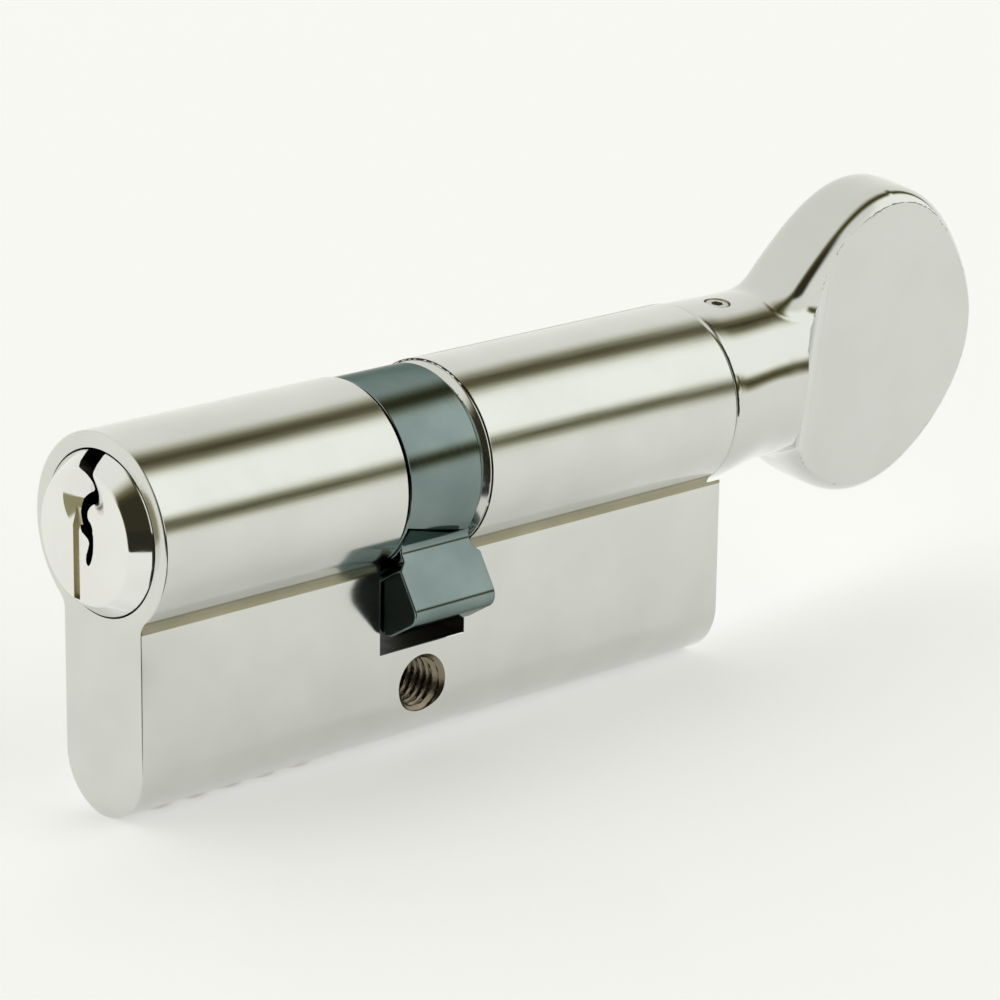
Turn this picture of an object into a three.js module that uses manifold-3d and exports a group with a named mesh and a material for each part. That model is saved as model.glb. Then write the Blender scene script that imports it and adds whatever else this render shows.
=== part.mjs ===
// Euro-profile knob cylinder: key-operated on one side, thumbturn on the other, 26 / 10 / 32 mm.
// Millimetres, +Z up. The origin is where the fixing-screw axis crosses the web's middle plane;
// +X runs along the barrel from the key side to the thumbturn, and the barrel is above the web.
// The pins rest at the shear line, as they do with the right key in, so that the plug can turn.
import * as THREE from "three";
import { mergeVertices } from "three/addons/utils/BufferGeometryUtils.js";
import Module from "manifold-3d";

const wasm = await Module();
wasm.setup();

// ---- Driving dimensions ----
const BARREL_R = 8.5; // the standard 17 mm profile
const WEB_HALF = 5; // the web is 10 mm thick, with a full round at its foot
const PROFILE_DROP = 24.5; // from the barrel's axis to the foot of the web
const SCREW_DROP = 18.7; // from the barrel's axis to the fixing screw
const AXIS_Z = SCREW_DROP;
const FOOT_Z = AXIS_Z - PROFILE_DROP + WEB_HALF; // centre of the foot's round

const KEY_END = -31; // 26 mm of body beyond half of the 10 mm cam space
const WEB_END = 37; // 32 mm of body on the thumbturn side
const BARREL_END = 35.2; // the barrel stops short of the web, and the thumbturn's collar fills the step
const COLLAR_CUT_R = 8.8;

const SLOT_HALF = 4.85;
const SLOT_FLOOR_DROP = 15;
// A raised rim beside the cam, round the spindle's circlip.
const CAM_RIM = { face: 3.9, inner: 6.8, outer: 7.3, end: 4.75, edge: 8.42 };
const SCREW_R = 2.25;
const SCREW_SINK = { r: 2.7, depth: 0.45 };

const PLUG_R = 6.5;
const PLUG_FACE = { x: -32.67, r: 5.8 };
const PLUG_HEAD = { r: 7, end: -29 };
const RUNNING_GAP = 0.05; // radial
const PLUG_LAND = { start: -5.6, end: -4.7, r: 6.45 }; // holds the circlip on
const PLUG_GROOVE = { start: -6.6, r: 5.7 };
const PLUG_NOSE = { end: -2.6, r: 5 };
const DRIVE_SLOT = { half: 1.15, start: -3.9 };
const CIRCLIP_SEAT = { start: -6.8, r: 7.6 };
const CIRCLIP = { start: -6.5, end: -5.7, inner: 5.85, outer: 7.35, opening: 70 };
const FACE_DIMPLE = { up: 3, r: 2.66, depth: 0.98 };

const PIN_COUNT = 5;
const FIRST_PIN_X = -26;
const PIN_PITCH = 3.8;
const CHAMBER_R = 1.55;
const PIN_R = 1.42;
const PIN_TIP = { r: 0.5, length: 1.2 };
const KEY_PIN_TIPS = [-1.2, 0.3, -0.5, 0.8, -1.6]; // height of each tip from the barrel's axis
const KEY_PIN_FOOT = -6.3;
const CHAMBER_TOP = 2;
const DRIVER = { top: -6.62, bottom: -11.2 };
const PIN_SPRING = { top: -11.5, bottom: -20.6, r: 1.02, wire: 0.2, turns: 6 };
const CHAMBER_CAP = { top: -21, bottom: -24 };

const CAM = { start: -4.45, end: 3.75, outer: 8.3, inner: 5.5, step: 1 };
const CAM_NOTCH = { half: 1.2, reach: 6.4 };
const LEVER = { halfWidth: 4.65, halfThick: 2.7, reach: 14.5, round: 1.3 };
const LEVER_NECK = { halfWidth: 3.74, foot: 9.6, shoulder: 10.4 };
const CAM_REST_DEG = -31; // the lever rests 31 degrees off straight down

const CLUTCH = { start: -1.2, end: -0.1, r: 4.9, lugHalf: 1, lugReach: 6.1 };
const TONGUE = { start: -2.25, half: 0.95, reach: 4.4 };
const SPINDLE = { start: 1.3, end: 47, r: 5, flat: 3.9, flatEnd: 3.85 };
const SPINDLE_GROOVE = { start: 3.93, end: 4.75, r: 4.3 };
const SPINDLE_CLIP = { start: 4, end: 4.68, inner: 4.4, outer: 6.6, opening: 80 };
const SPINDLE_FLAT = { start: 37.4, end: 43.4, height: 4.4 };
const SPRING_SEAT = { r: 2.75, end: 8 };
const CLUTCH_SPRING = { start: 0.1, end: 7.7, r: 2.2, wire: 0.28, turns: 5 };

const NECK = { start: 35.5, end: 50.5, r: 8.35, edge: 0.25 };
const KNOB_REST_DEG = 8;
const KNOB_BORE = { r: 5.1, end: 47.4 };
// The knob's outline seen along Y: an egg about (x, up), a little squarer than round.
const EGG = {
  x: 59.1,
  up: 1.7,
  mean: 14.75,
  oval: 0.2,
  ovalAt: 1.9,
  taper: -0.4,
  taperAt: 0.26,
  square: 0.45,
};
const PADDLE = { halfThick: 3.65, edgeSize: 0.6, edgeThick: 1.4 };
const SCOOP = { start: 44.4, end: 52 }; // the hollow on each side, from the neck down to the flat
const SET_SCREW = { x: 40, r: 1.42, hole: 1.5, foot: 4.55, head: 7.9 };

// ---- Finishes ----
const finish = (color, roughness, metalness = 1) => ({ color, roughness, metalness });
const SATIN_NICKEL = finish(0xcfcdc3, 0.34);
const POLISHED_NICKEL = finish(0xdcdad2, 0.12);
const BLACK_NICKEL = finish(0x47504f, 0.22);
const BRASS = finish(0xc9a45a, 0.3);
const STEEL = finish(0xa9abad, 0.3);
const SPRING_STEEL = finish(0x8d9093, 0.35);

// ---- Solids ----
function solid(geometry) {
  const bare = new THREE.BufferGeometry();
  bare.setAttribute("position", geometry.getAttribute("position").clone());
  if (geometry.index) bare.setIndex(geometry.index.clone());
  const merged = mergeVertices(bare, 1e-4);
  return new wasm.Manifold(
    new wasm.Mesh({
      numProp: 3,
      vertProperties: merged.attributes.position.array,
      triVerts: new Uint32Array(merged.index.array),
    }),
  );
}

const join = (first, ...others) => others.reduce((a, b) => a.add(b), first);
const cut = (first, ...others) => others.reduce((a, b) => a.subtract(b), first);

// A solid of revolution about X: each profile point is [x, radius], from -X to +X.
function turned(profile, segments = 40) {
  const points = profile.map(([x, r]) => new THREE.Vector2(r, x));
  return solid(new THREE.LatheGeometry(points, segments).rotateZ(-Math.PI / 2));
}

// The same about Z, each point [z, radius], from low to high.
function turnedUp(profile, x, y, z, segments = 16) {
  const points = profile.map(([h, r]) => new THREE.Vector2(r, h));
  const geometry = new THREE.LatheGeometry(points, segments).rotateX(Math.PI / 2);
  return solid(geometry.translate(x, y, z));
}

const rod = (x0, x1, r, segments) =>
  turned([[x0, 0], [x0, r], [x1, r], [x1, 0]], segments);
const post = (x, z0, z1, r, segments) =>
  turnedUp([[z0, 0], [z0, r], [z1, r], [z1, 0]], x, 0, 0, segments);

function block(x0, x1, y0, y1, z0, z1) {
  const geometry = new THREE.BoxGeometry(x1 - x0, y1 - y0, z1 - z0);
  return solid(geometry.translate((x0 + x1) / 2, (y0 + y1) / 2, (z0 + z1) / 2));
}

// A shape drawn in (y, z), pulled along X.
function pulledX(shape, x0, x1, curveSegments = 12) {
  const options = { depth: x1 - x0, bevelEnabled: false, curveSegments };
  const toX = new THREE.Matrix4().makeBasis(
    new THREE.Vector3(0, 1, 0),
    new THREE.Vector3(0, 0, 1),
    new THREE.Vector3(1, 0, 0),
  );
  return solid(new THREE.ExtrudeGeometry(shape, options).applyMatrix4(toX).translate(x0, 0, 0));
}

// A shape drawn in (x, z), pulled from y1 down to y0.
function pulledY(shape, y0, y1, options = {}) {
  const toY = new THREE.Matrix4().makeBasis(
    new THREE.Vector3(1, 0, 0),
    new THREE.Vector3(0, 0, 1),
    new THREE.Vector3(0, -1, 0),
  );
  const settings = { depth: y1 - y0, bevelEnabled: false, ...options };
  return solid(new THREE.ExtrudeGeometry(shape, settings).applyMatrix4(toY).translate(0, y1, 0));
}

// A wire coil, closed at both ends, whose axis runs from start along the given direction.
class Coil extends THREE.Curve {
  constructor(spring, length) {
    super();
    Object.assign(this, { spring, length });
  }
  getPoint(t, target = new THREE.Vector3()) {
    const { r, turns } = this.spring;
    const angle = 2 * Math.PI * turns * t;
    return target.set(r * Math.cos(angle), r * Math.sin(angle), this.length * t);
  }
}

function coil(spring, length) {
  const wire = new THREE.Shape();
  const sides = 4;
  for (let i = 0; i < sides; i++) {
    const angle = (2 * Math.PI * i) / sides;
    const place = [spring.wire * Math.cos(angle), spring.wire * Math.sin(angle)];
    if (i === 0) wire.moveTo(...place);
    else wire.lineTo(...place);
  }
  wire.closePath();
  const inner = length - 2 * spring.wire;
  return new THREE.ExtrudeGeometry(wire, {
    steps: spring.turns * 8,
    extrudePath: new Coil(spring, inner),
    bevelEnabled: false,
  }).translate(0, 0, spring.wire);
}

// ---- The scene graph ----
const cylinder = new THREE.Group();

function geometryOf(made) {
  const mesh = made.getMesh();
  const geometry = new THREE.BufferGeometry();
  const positions = new THREE.BufferAttribute(new Float32Array(mesh.vertProperties), 3);
  geometry.setAttribute("position", positions);
  geometry.setIndex(new THREE.BufferAttribute(new Uint32Array(mesh.triVerts), 1));
  const flat = geometry.toNonIndexed();
  flat.computeVertexNormals();
  return flat;
}

function add(parent, name, made, material) {
  const geometry = made.isBufferGeometry ? made : geometryOf(made);
  const mesh = new THREE.Mesh(geometry, new THREE.MeshStandardMaterial(material));
  mesh.name = name;
  parent.add(mesh);
  return mesh;
}

// Everything that turns is drawn about the barrel's axis, in a group set at the axis's height.
function turningGroup(restDegrees) {
  const group = new THREE.Group();
  group.position.z = AXIS_Z;
  group.rotation.x = THREE.MathUtils.degToRad(restDegrees);
  cylinder.add(group);
  return group;
}

// ---- Body ----
function profileShape() {
  const side = Math.acos(WEB_HALF / BARREL_R);
  const joinZ = AXIS_Z - BARREL_R * Math.sin(side);
  const shape = new THREE.Shape();
  shape.moveTo(WEB_HALF, FOOT_Z);
  shape.lineTo(WEB_HALF, joinZ);
  shape.absarc(0, AXIS_Z, BARREL_R, -side, Math.PI + side, false);
  shape.lineTo(-WEB_HALF, FOOT_Z);
  shape.absarc(0, FOOT_Z, WEB_HALF, Math.PI, 2 * Math.PI, false);
  return shape;
}

function screwHole() {
  const half = WEB_HALF + 0.1;
  const sunk = half - SCREW_SINK.depth;
  const profile = [
    [-half, 0],
    [-half, SCREW_SINK.r],
    [-sunk, SCREW_R],
    [sunk, SCREW_R],
    [half, SCREW_SINK.r],
    [half, 0],
  ];
  return turned(profile, 24).rotate([0, 0, 90]);
}

const pinPlaces = Array.from({ length: PIN_COUNT }, (_, i) => FIRST_PIN_X + i * PIN_PITCH);

function body() {
  const onAxis = (made) => made.translate([0, 0, AXIS_Z]);
  const past = 1;
  const footZ = AXIS_Z - PROFILE_DROP;
  const slot = block(-SLOT_HALF, SLOT_HALF, -10, 10, AXIS_Z - SLOT_FLOOR_DROP, AXIS_Z + 10);
  const rimProfile = [
    [CAM_RIM.face, 0],
    [CAM_RIM.face, CAM_RIM.outer],
    [CAM_RIM.end, CAM_RIM.edge],
    [CAM_RIM.end + past, CAM_RIM.edge],
    [CAM_RIM.end + past, 0],
  ];
  const rim = cut(turned(rimProfile, 48), rod(0, 2 * CAM_RIM.end, CAM_RIM.inner, 48));
  return cut(
    pulledX(profileShape(), KEY_END, WEB_END, 28),
    onAxis(rod(BARREL_END, WEB_END + past, COLLAR_CUT_R, 56)),
    onAxis(rod(KEY_END - past, 0, PLUG_R + RUNNING_GAP, 48)),
    onAxis(rod(KEY_END - past, PLUG_HEAD.end + 0.1, PLUG_HEAD.r + 0.1, 48)),
    onAxis(rod(CIRCLIP_SEAT.start, 0, CIRCLIP_SEAT.r, 48)),
    onAxis(rod(0, WEB_END + past, SPINDLE.r + RUNNING_GAP, 48)),
    cut(slot, onAxis(rim)),
    screwHole(),
    ...pinPlaces.map((x) => post(x, footZ - past, AXIS_Z - 5, CHAMBER_R, 20)),
  );
}

add(cylinder, "cylinder_body", body(), SATIN_NICKEL);

// ---- Plug ----
// The keyway's outline in (y, z) from the barrel's axis; it is open at the plug's top.
const KEYWAY = [
  [1.3, 8],
  [1.3, 6.8],
  [0.95, 5.85],
  [-0.25, 5.55],
  [-0.85, 5],
  [-1.1, 4.6],
  [-1.05, 4.1],
  [0.1, 3.6],
  [0.75, 3.1],
  [0.95, 2.5],
  [0.95, 1.8],
  [0.75, 1],
  [0.4, 0.45],
  [-0.15, 0.2],
  [-0.7, -0.15],
  [-0.6, -0.7],
  [-0.2, -1.6],
  [-0.3, -2.2],
  [-0.6, -2.35],
  [-0.95, -1.8],
  [-1.2, -0.8],
  [-1.2, 0.65],
  [-0.7, 1.15],
  [0, 1.45],
  [0.25, 1.95],
  [0.1, 2.4],
  [-0.4, 2.75],
  [-1.5, 3.15],
  [-1.8, 3.95],
  [-1.65, 4.6],
  [-1.3, 5.5],
  [-0.9, 6.4],
  [-0.9, 8],
];

function keywayShape() {
  return new THREE.Shape(KEYWAY.map(([y, z]) => new THREE.Vector2(y, z)));
}

function plug() {
  const outside = turned(
    [
      [PLUG_FACE.x, 0],
      [PLUG_FACE.x, PLUG_FACE.r],
      [KEY_END, PLUG_HEAD.r],
      [PLUG_HEAD.end, PLUG_HEAD.r],
      [PLUG_HEAD.end, PLUG_R],
      [PLUG_GROOVE.start, PLUG_R],
      [PLUG_GROOVE.start, PLUG_GROOVE.r],
      [PLUG_LAND.start, PLUG_GROOVE.r],
      [PLUG_LAND.start, PLUG_LAND.r],
      [PLUG_LAND.end, PLUG_LAND.r],
      [PLUG_LAND.end, PLUG_NOSE.r],
      [PLUG_NOSE.end, PLUG_NOSE.r],
      [PLUG_NOSE.end, 0],
    ],
    48,
  );
  const dimple = turned(
    [[PLUG_FACE.x - 0.1, 0], [PLUG_FACE.x - 0.1, FACE_DIMPLE.r], [PLUG_FACE.x + FACE_DIMPLE.depth, 0]],
    24,
  ).translate([0, 0, FACE_DIMPLE.up]);
  return cut(
    outside,
    dimple,
    pulledX(keywayShape(), PLUG_FACE.x - 1, 0),
    block(DRIVE_SLOT.start, 0, -7, 7, -DRIVE_SLOT.half, DRIVE_SLOT.half),
    ...pinPlaces.map((x) => post(x, -8, CHAMBER_TOP, CHAMBER_R, 20)),
  );
}

// A ring cut open over the given angle, the opening facing down.
function openRing({ start, end, inner, outer, opening }) {
  const half = THREE.MathUtils.degToRad(opening / 2);
  const from = -Math.PI / 2 + half;
  const to = (3 * Math.PI) / 2 - half;
  const shape = new THREE.Shape();
  shape.absarc(0, 0, outer, from, to, false);
  shape.absarc(0, 0, inner, to, from, true);
  return pulledX(shape, start, end, 18);
}

const plugGroup = turningGroup(0);
add(plugGroup, "plug", plug(), POLISHED_NICKEL);
add(plugGroup, "plug_circlip", openRing(CIRCLIP), SPRING_STEEL);

// ---- Pin stacks: key pin in the plug; driver pin, spring and cap in the body ----
function keyPin(x, tip) {
  const chamfer = 0.2;
  const profile = [
    [KEY_PIN_FOOT, 0],
    [KEY_PIN_FOOT, PIN_R - chamfer],
    [KEY_PIN_FOOT + chamfer, PIN_R],
    [tip - PIN_TIP.length, PIN_R],
    [tip, PIN_TIP.r],
    [tip, 0],
  ];
  return turnedUp(profile, x, 0, 0);
}

const stackGroup = turningGroup(0);
pinPlaces.forEach((x, i) => {
  const number = i + 1;
  add(stackGroup, `key_pin_${number}`, keyPin(x, KEY_PIN_TIPS[i]), BRASS);
  add(stackGroup, `driver_pin_${number}`, post(x, DRIVER.bottom, DRIVER.top, PIN_R, 16), STEEL);
  const spring = coil(PIN_SPRING, PIN_SPRING.top - PIN_SPRING.bottom);
  add(stackGroup, `pin_spring_${number}`, spring, SPRING_STEEL).position.set(x, 0, PIN_SPRING.bottom);
  const cap = post(x, CHAMBER_CAP.bottom, CHAMBER_CAP.top, PIN_R, 16);
  add(stackGroup, `chamber_cap_${number}`, cap, BRASS);
});

// ---- Cam, clutch and its spring ----
// The lever seen along X, pointing straight down: parallel flanks and a rounded tip.
function leverShape() {
  const { halfThick, reach, round } = LEVER;
  const shape = new THREE.Shape();
  const shoulderZ = -Math.sqrt(reach ** 2 - halfThick ** 2) + round;
  shape.moveTo(-halfThick, -CAM.inner - 1.5);
  shape.lineTo(-halfThick, shoulderZ);
  shape.quadraticCurveTo(-halfThick, shoulderZ - round, -halfThick + round, -reach + 0.15);
  shape.lineTo(0, -reach);
  shape.lineTo(halfThick - round, -reach + 0.15);
  shape.quadraticCurveTo(halfThick, shoulderZ - round, halfThick, shoulderZ);
  shape.lineTo(halfThick, -CAM.inner - 1.5);
  return shape;
}

// What is cut from each side of the lever to leave its narrower neck.
function neckRelief(side) {
  const shape = new THREE.Shape();
  shape.moveTo(side * LEVER_NECK.halfWidth, -CAM.inner);
  shape.lineTo(side * LEVER_NECK.halfWidth, -LEVER_NECK.foot);
  shape.lineTo(side * (LEVER.halfWidth + 0.1), -LEVER_NECK.shoulder);
  shape.lineTo(side * (LEVER.halfWidth + 0.1), -CAM.inner);
  return pulledY(shape, -5, 5);
}

function cam() {
  const lever = cut(
    pulledX(leverShape(), -LEVER.halfWidth, LEVER.halfWidth, 4),
    neckRelief(-1),
    neckRelief(1),
  ).rotate([CAM_REST_DEG, 0, 0]);
  const flatZ = SPINDLE.flat + RUNNING_GAP;
  const driveHole = cut(
    rod(CAM.step - 1, CAM.end + 1, SPINDLE.r + 0.1, 40),
    block(CAM.step - 2, CAM.end + 2, -7, 7, flatZ, 7),
    block(CAM.step - 2, CAM.end + 2, -7, 7, -7, -flatZ),
  );
  return cut(
    join(rod(CAM.start, CAM.end, CAM.outer, 48), lever),
    rod(CAM.start - 1, CAM.step, CAM.inner, 40),
    driveHole,
    block(CAM.start - 1, CAM.step, -CAM_NOTCH.half, CAM_NOTCH.half, -CAM_NOTCH.reach, CAM_NOTCH.reach),
  );
}

function clutch() {
  const { start, end, r, lugHalf, lugReach } = CLUTCH;
  return join(
    rod(start, end, r, 32),
    block(start, end, -lugHalf, lugHalf, -lugReach, lugReach),
    block(TONGUE.start, start + 0.2, -TONGUE.reach, TONGUE.reach, -TONGUE.half, TONGUE.half),
  );
}

const camGroup = turningGroup(0);
add(camGroup, "cam", cam(), BLACK_NICKEL);
add(camGroup, "clutch", clutch(), STEEL);
const clutchSpring = coil(CLUTCH_SPRING, CLUTCH_SPRING.end - CLUTCH_SPRING.start);
clutchSpring.rotateY(Math.PI / 2);
add(camGroup, "clutch_spring", clutchSpring, SPRING_STEEL).position.x = CLUTCH_SPRING.start;

// ---- Thumbturn, its spindle, clip and set screw ----
function spindle() {
  const flats = [1, -1].map((side) =>
    block(
      SPINDLE.start - 1,
      SPINDLE.flatEnd,
      -6,
      6,
      side > 0 ? SPINDLE.flat : -7,
      side > 0 ? 7 : -SPINDLE.flat,
    ),
  );
  const outside = turned(
    [
      [SPINDLE.start, 0],
      [SPINDLE.start, SPINDLE.r],
      [SPINDLE_GROOVE.start, SPINDLE.r],
      [SPINDLE_GROOVE.start, SPINDLE_GROOVE.r],
      [SPINDLE_GROOVE.end, SPINDLE_GROOVE.r],
      [SPINDLE_GROOVE.end, SPINDLE.r],
      [SPINDLE.end, SPINDLE.r],
      [SPINDLE.end, 0],
    ],
    40,
  );
  const seat = rod(SPINDLE.start - 1, SPRING_SEAT.end, SPRING_SEAT.r, 24);
  return cut(outside, seat, ...flats);
}

function screwFlat() {
  const { start, end, height } = SPINDLE_FLAT;
  return block(start, end, -6, 6, height, 7).rotate([KNOB_REST_DEG, 0, 0]);
}

// The flat's outline is the egg's, less what the rounded rim stands out.
function paddleShape() {
  const { x, up, mean, oval, ovalAt, taper, taperAt, square } = EGG;
  const steps = 40;
  const points = Array.from({ length: steps }, (_, i) => {
    const angle = (2 * Math.PI * i) / steps;
    const r =
      mean -
      PADDLE.edgeSize +
      oval * Math.cos(2 * (angle - ovalAt)) +
      taper * Math.cos(3 * (angle - taperAt)) +
      square * Math.cos(4 * angle);
    return new THREE.Vector2(x + r * Math.cos(angle), up + r * Math.sin(angle));
  });
  return new THREE.Shape(points);
}

// What is cut from one side of the neck: a round hollow that runs out into the flat.
function scoop(side) {
  const length = SCOOP.end - SCOOP.start;
  const depth = NECK.r + 0.1 - PADDLE.halfThick;
  const r = (length ** 2 + depth ** 2) / (2 * depth);
  const sweep = Math.asin(length / r);
  const steps = 6;
  const shape = new THREE.Shape();
  shape.moveTo(SCOOP.start, side * (PADDLE.halfThick + depth));
  for (let i = 1; i <= steps; i++) {
    const angle = sweep * (1 - i / steps);
    const height = PADDLE.halfThick + r * (1 - Math.cos(angle));
    shape.lineTo(SCOOP.end - r * Math.sin(angle), side * height);
  }
  shape.lineTo(SCOOP.end, side * (PADDLE.halfThick + depth));
  const height = 2 * (NECK.r + 1);
  const geometry = new THREE.ExtrudeGeometry(shape, { depth: height, bevelEnabled: false });
  return solid(geometry.translate(0, 0, -height / 2));
}

function thumbturn() {
  const paddleCore = PADDLE.halfThick - PADDLE.edgeThick;
  const paddle = pulledY(paddleShape(), -paddleCore, paddleCore, {
    bevelEnabled: true,
    bevelSize: PADDLE.edgeSize,
    bevelThickness: PADDLE.edgeThick,
    bevelSegments: 3,
  });
  const neck = turned(
    [
      [NECK.start, 0],
      [NECK.start, NECK.r - NECK.edge],
      [NECK.start + NECK.edge, NECK.r],
      [NECK.end, NECK.r],
      [NECK.end, 0],
    ],
    48,
  );
  return cut(
    join(cut(neck, scoop(-1), scoop(1)), paddle),
    rod(NECK.start - 1, KNOB_BORE.end, KNOB_BORE.r, 40),
    post(SET_SCREW.x, 0, NECK.r + 1, SET_SCREW.hole, 20),
  );
}

const knobGroup = turningGroup(KNOB_REST_DEG);
add(knobGroup, "thumbturn", thumbturn(), POLISHED_NICKEL);
const setScrew = post(SET_SCREW.x, SET_SCREW.foot, SET_SCREW.head, SET_SCREW.r, 16);
add(knobGroup, "thumbturn_set_screw", setScrew, STEEL);
const shaftGroup = turningGroup(0);
add(shaftGroup, "thumbturn_spindle", cut(spindle(), screwFlat()), STEEL);
add(shaftGroup, "spindle_circlip", openRing(SPINDLE_CLIP), SPRING_STEEL);

export default cylinder;
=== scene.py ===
"""The finished look of a euro-profile knob cylinder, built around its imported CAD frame.

Shapes are made in millimetres, in the row frame: +X runs along the barrel from the key side to
the thumbturn, -Y faces the camera and +Z is up. `place` turns each into metres at the end.
"""
import math

import bmesh
import bpy
import numpy as np
from mathutils import Matrix, Vector


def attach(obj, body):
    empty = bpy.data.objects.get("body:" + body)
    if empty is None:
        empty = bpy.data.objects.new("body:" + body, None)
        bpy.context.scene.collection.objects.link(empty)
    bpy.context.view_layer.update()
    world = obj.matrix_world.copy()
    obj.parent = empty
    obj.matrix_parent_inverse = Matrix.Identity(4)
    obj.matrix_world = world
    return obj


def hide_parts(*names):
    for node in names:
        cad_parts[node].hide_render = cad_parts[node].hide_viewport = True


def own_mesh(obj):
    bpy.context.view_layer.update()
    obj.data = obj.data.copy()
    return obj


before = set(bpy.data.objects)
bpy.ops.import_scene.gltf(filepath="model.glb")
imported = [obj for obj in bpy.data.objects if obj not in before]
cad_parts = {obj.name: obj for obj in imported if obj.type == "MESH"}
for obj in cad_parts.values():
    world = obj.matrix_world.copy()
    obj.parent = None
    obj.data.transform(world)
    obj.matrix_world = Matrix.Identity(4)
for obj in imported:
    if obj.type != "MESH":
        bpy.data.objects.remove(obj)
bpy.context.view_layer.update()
scene = bpy.context.scene

MM = 0.001
TURN = 2 * math.pi

AXIS_Z = 18.7  # height of the barrel's axis
BARREL_R = 8.5
WEB_HALF = 5.0
FOOT_Z = -0.8  # centre of the web's round foot
CREASE = 1.5  # radius of the hollow where the barrel meets the web
CREASE_Y = WEB_HALF + CREASE  # the hollow's centre, out from the web's mid-plane
CREASE_DROP = math.sqrt((BARREL_R + CREASE) ** 2 - CREASE_Y**2)  # and down from the barrel's axis
KEY_END, WEB_END, BARREL_END = -31.0, 37.0, 35.2
END_ROUND = 0.18

KNOB_REST = math.radians(8)
LEVER_REST = math.radians(-31)
PIN_PLACES = [-26 + 3.8 * i for i in range(5)]
PIN_R, PIN_BORE_R = 1.42, 1.55


# ---------------------------------------------------------------- mesh tools
def link(name, data):
    obj = bpy.data.objects.new(name, data)
    scene.collection.objects.link(obj)
    return obj


def mesh_object(name, verts, faces, outward=True):
    mesh = bpy.data.meshes.new(name)
    mesh.from_pydata([tuple(map(float, v)) for v in verts], [], faces)
    if outward:
        bm = bmesh.new()
        bm.from_mesh(mesh)
        bmesh.ops.recalc_face_normals(bm, faces=bm.faces)
        bm.to_mesh(mesh)
        bm.free()
    return link(name, mesh)


def loft(name, rings):
    """A closed solid through rings of equal length, with both ends capped."""
    rings = [np.asarray(r, float) for r in rings]
    count = len(rings[0])
    last = (len(rings) - 1) * count
    faces = []
    for a in range(0, last, count):
        b = a + count
        for i in range(count):
            j = (i + 1) % count
            faces.append((a + i, a + j, b + j, b + i))
    faces.append(tuple(range(count)))
    faces.append(tuple(range(last, last + count)))
    return mesh_object(name, np.concatenate(rings), faces)


def turned(name, profile, segments=96, at=(0.0, AXIS_Z)):
    """A solid of revolution about an axis along X; profile is [(x, radius)]."""
    angles = np.arange(segments) * TURN / segments
    rings = [
        np.c_[np.full(segments, x), at[0] + r * np.sin(angles), at[1] + r * np.cos(angles)]
        for x, r in profile
    ]
    return loft(name, rings)


def turned_up(name, profile, x):
    """The same about a vertical axis at x; profile is [(height over the barrel's axis, radius)]."""
    segments = 48
    angles = np.arange(segments) * TURN / segments
    rings = [
        np.c_[x + r * np.cos(angles), r * np.sin(angles), np.full(segments, AXIS_Z + h)]
        for h, r in profile
    ]
    return loft(name, rings)


def prism_x(name, outline, x0, x1):
    """An outline in (y, z over the axis), pulled along X."""
    flat = np.asarray(outline, float)
    rings = [np.c_[np.full(len(flat), x), flat[:, 0], AXIS_Z + flat[:, 1]] for x in (x0, x1)]
    return loft(name, rings)


def prism_y(name, outline, y0, y1):
    """An outline in (x, z over the axis), pulled along Y."""
    flat = np.asarray(outline, float)
    rings = [np.c_[flat[:, 0], np.full(len(flat), y), AXIS_Z + flat[:, 1]] for y in (y0, y1)]
    return loft(name, rings)


def prism_z(name, outline, z0, z1):
    """An outline in (x, y), pulled along Z; heights are over the barrel's axis."""
    rings = [[(x, y, AXIS_Z + z) for x, y in outline] for z in (z0, z1)]
    return loft(name, rings)


def block(name, x0, x1, y0, y1, z0, z1):
    """A box; heights are over the barrel's axis."""
    return prism_x(name, [(y0, z0), (y1, z0), (y1, z1), (y0, z1)], x0, x1)


def arc(centre, radius, start, end, steps):
    """Points of an arc in degrees, both ends included."""
    angles = np.radians(np.linspace(start, end, steps + 1))
    return [(centre[0] + radius * math.cos(a), centre[1] + radius * math.sin(a)) for a in angles]


def circle(centre, radius, count):
    return arc(centre, radius, 0, 360 - 360 / count, count - 1)


def bake(obj):
    """Applies the modifiers."""
    graph = bpy.context.evaluated_depsgraph_get()
    mesh = bpy.data.meshes.new_from_object(obj.evaluated_get(graph), depsgraph=graph)
    obj.modifiers.clear()
    obj.data = mesh
    return obj


def carve(obj, *tools, operation="DIFFERENCE"):
    """Cuts the tools out of the object and removes them."""
    for tool in tools:
        mod = obj.modifiers.new("cut", "BOOLEAN")
        mod.object = tool
        mod.operation = operation
        mod.solver = "EXACT"
        mod.material_mode = "TRANSFER"
        bake(obj)
        bpy.data.objects.remove(tool)
    return obj


def join(obj, *others):
    return carve(obj, *others, operation="UNION")


def clean(obj, gap=0.004):
    """Merges what a cut leaves closer together than the gap."""
    bm = bmesh.new()
    bm.from_mesh(obj.data)
    bmesh.ops.remove_doubles(bm, verts=bm.verts, dist=gap)
    bmesh.ops.dissolve_degenerate(bm, edges=bm.edges, dist=gap)
    bm.to_mesh(obj.data)
    bm.free()


EDGE_WEIGHT = "bevel_weight_edge"


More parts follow.
